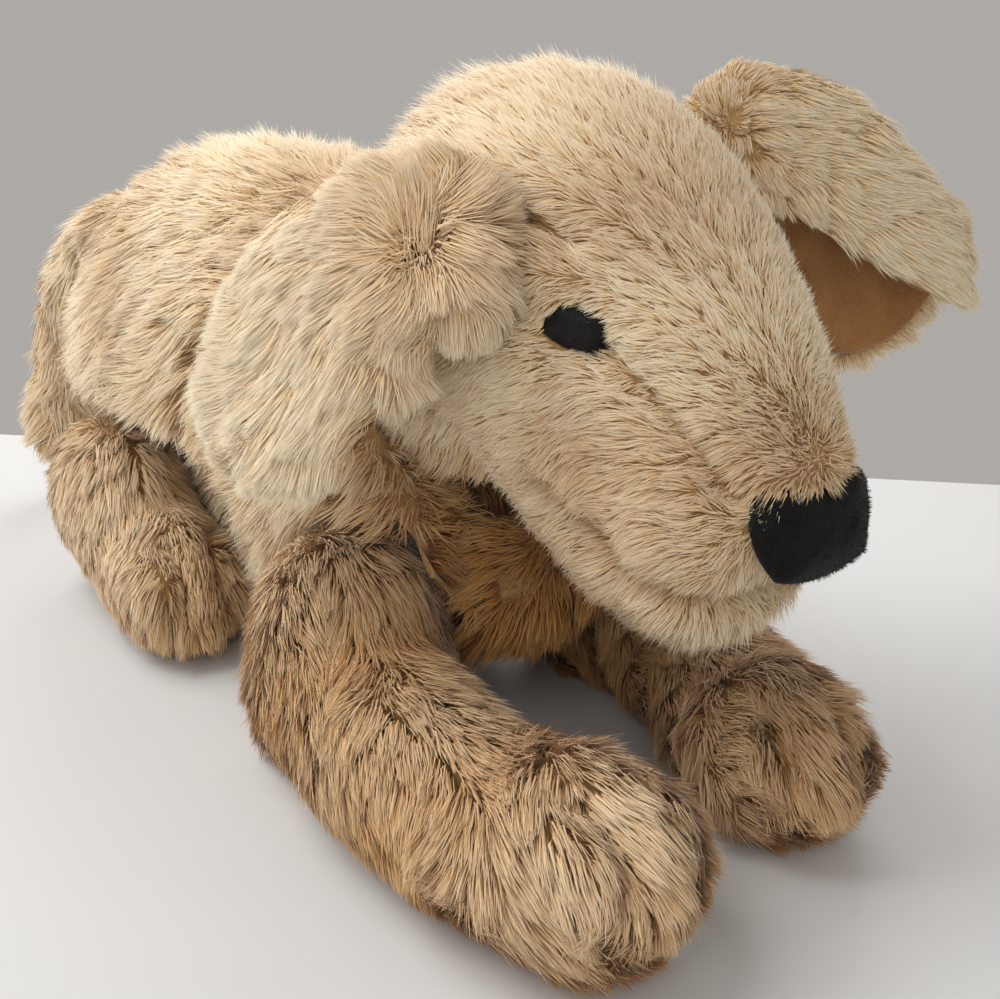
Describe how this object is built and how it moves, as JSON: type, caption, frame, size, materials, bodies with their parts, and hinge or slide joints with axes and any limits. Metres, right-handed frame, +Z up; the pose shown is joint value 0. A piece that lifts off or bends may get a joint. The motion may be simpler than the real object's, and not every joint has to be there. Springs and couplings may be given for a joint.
{
  "type": "plush dog",
  "caption": "Lying plush puppy with soft sewn pile covers over stuffing, a turning neck, floppy ears, sewn legs and a drooping tail.",
  "frame": {"origin": "middle of the belly's flat underside, on the surface that the dog lies on", "axes": "+Z up, the dog faces -Y, its left side is +X"},
  "size_m": [0.234, 0.3609, 0.1871],
  "materials": {
    "pile_fabric": "long soft cream and honey pile on a knitted backing",
    "ear_velour": "short tan velour",
    "nose_velvet": "black short velvet",
    "stuffing": "white fibre filling",
    "pellet_bag": "thin woven bag filled with pellets",
    "eye": "black moulded eye with a soft sheen",
    "washer": "plain moulded locking washer",
    "thread": "doubled brown sewing thread"
  },
  "bodies": {
    "torso": {"belly_panel": "pile_fabric", "torso_pellet_bag": "pellet_bag", "torso_side_panel_left": "pile_fabric", "torso_side_panel_right": "pile_fabric", "torso_stuffing": "stuffing"},
    "neck": {"neck_cover": "pile_fabric", "neck_stuffing": "stuffing"},
    "head": {"chin_panel": "pile_fabric", "eye_left": "eye", "eye_right": "eye", "eye_washer_left": "washer", "eye_washer_right": "washer", "head_gusset": "pile_fabric", "head_side_panel_left": "pile_fabric", "head_side_panel_right": "pile_fabric", "head_stuffing": "stuffing", "mouth_stitch": "thread", "nose_patch": "nose_velvet"},
    "ear_right": {"ear_lining_right": "ear_velour", "ear_outer_right": "pile_fabric"},
    "ear_left": {"ear_lining_left": "ear_velour", "ear_outer_left": "pile_fabric"},
    "foreleg_right": {"foreleg_inner_panel_right": "pile_fabric", "foreleg_outer_panel_right": "pile_fabric", "foreleg_pellet_bag_right": "pellet_bag", "foreleg_stuffing_right": "stuffing", "foreleg_toe_stitches_right": "thread"},
    "foreleg_left": {"foreleg_inner_panel_left": "pile_fabric", "foreleg_outer_panel_left": "pile_fabric", "foreleg_pellet_bag_left": "pellet_bag", "foreleg_stuffing_left": "stuffing", "foreleg_toe_stitches_left": "thread"},
    "hindleg_right": {"hindleg_inner_panel_right": "pile_fabric", "hindleg_outer_panel_right": "pile_fabric", "hindleg_pellet_bag_right": "pellet_bag", "hindleg_stuffing_right": "stuffing", "hindleg_toe_stitches_right": "thread"},
    "hindleg_left": {"hindleg_inner_panel_left": "pile_fabric", "hindleg_outer_panel_left": "pile_fabric", "hindleg_pellet_bag_left": "pellet_bag", "hindleg_stuffing_left": "stuffing", "hindleg_toe_stitches_left": "thread"},
    "tail": {"tail_cover": "pile_fabric", "tail_stuffing": "stuffing"}
  },
  "joints": [
    {"name": "neck_turn", "type": "hinge", "parent": "torso", "child": "neck", "pos_m": [0.0115, -0.075, 0.112], "axis": [0, 0, 1], "range_deg": [-12, 12], "stiffness_Nm_per_rad": 1.5},
    {"name": "neck_nod", "type": "hinge", "parent": "neck", "child": "head", "pos_m": [0.0115, -0.075, 0.112], "axis": [1, 0, 0], "range_deg": [-10, 3], "stiffness_Nm_per_rad": 2.5},
    {"name": "ear_swing_right", "type": "hinge", "parent": "head", "child": "ear_right", "pos_m": [-0.034, -0.11, 0.153], "axis": [0.1702, 0.4205, 0.8912], "range_deg": [0, 60], "stiffness_Nm_per_rad": 0.03},
    {"name": "ear_swing_left", "type": "hinge", "parent": "head", "child": "ear_left", "pos_m": [0.062, -0.11, 0.153], "axis": [0.1702, -0.4205, -0.8912], "range_deg": [-15, 30]},
    {"name": "foreleg_splay_right", "type": "hinge", "parent": "torso", "child": "foreleg_right", "pos_m": [-0.041, -0.072, 0], "axis": [0, 0, -1], "range_deg": [0, 20], "stiffness_Nm_per_rad": 0.4},
    {"name": "foreleg_splay_left", "type": "hinge", "parent": "torso", "child": "foreleg_left", "pos_m": [0.059, -0.072, 0], "axis": [0, 0, 1], "range_deg": [0, 20], "stiffness_Nm_per_rad": 0.4},
    {"name": "hindleg_lift_right", "type": "hinge", "parent": "torso", "child": "hindleg_right", "pos_m": [-0.05383, 0.056, 0.036], "axis": [-1, 0, 0], "range_deg": [0, 15], "stiffness_Nm_per_rad": 0.5},
    {"name": "hindleg_lift_left", "type": "hinge", "parent": "torso", "child": "hindleg_left", "pos_m": [0.04337, 0.056, 0.036], "axis": [-1, 0, 0], "range_deg": [0, 15], "stiffness_Nm_per_rad": 0.5},
    {"name": "tail_wag", "type": "hinge", "parent": "torso", "child": "tail", "pos_m": [-0.01328, 0.103, 0.112], "axis": [0, 0, 1], "range_deg": [-10, 10], "stiffness_Nm_per_rad": 0.12}
  ]
}
